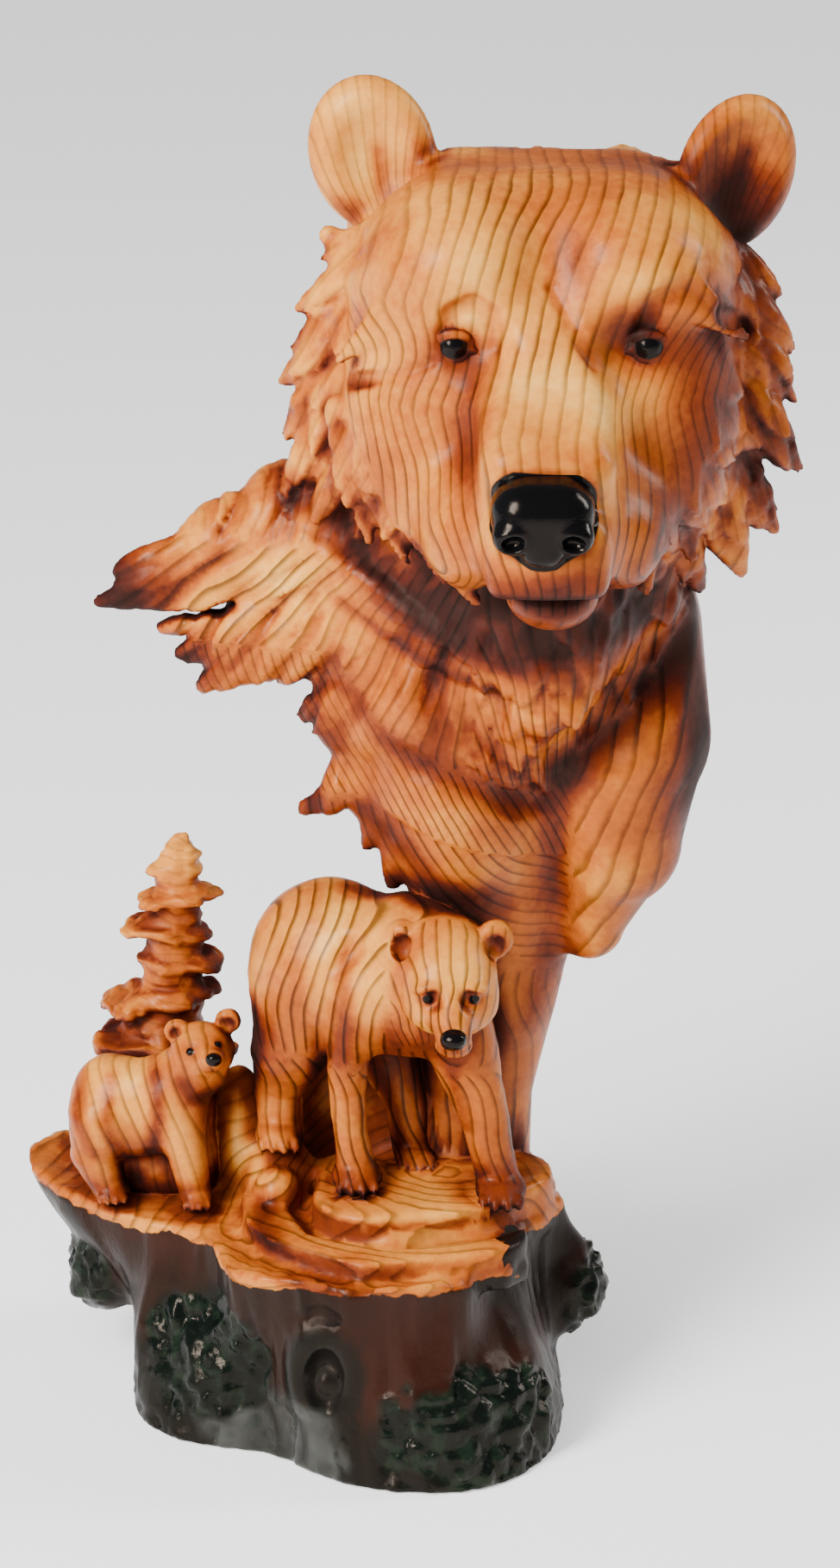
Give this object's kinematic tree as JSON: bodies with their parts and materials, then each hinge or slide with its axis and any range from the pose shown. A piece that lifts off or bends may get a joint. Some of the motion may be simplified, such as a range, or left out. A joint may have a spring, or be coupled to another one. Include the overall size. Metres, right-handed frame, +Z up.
{
  "type": "bear family figurine",
  "caption": "Wood-look resin figurine: a brown bear's bust rises from a bark-covered stump on a carved foreleg, above a walking mother bear, her cub and a fir.",
  "frame": {"origin": "middle of the stump's flat underside", "axes": "+Z up, +X to the right as seen from the front, +Y away from the viewer, so the bears' faces look towards -Y"},
  "size_m": [0.1723, 0.1246, 0.2992],
  "materials": {
    "painted_resin": "airbrushed wood colours with grain lines, dark bark and black noses, under a clear lacquer"
  },
  "bodies": {
    "root": {"bear_family_casting": "painted_resin"}
  },
  "joints": []
}
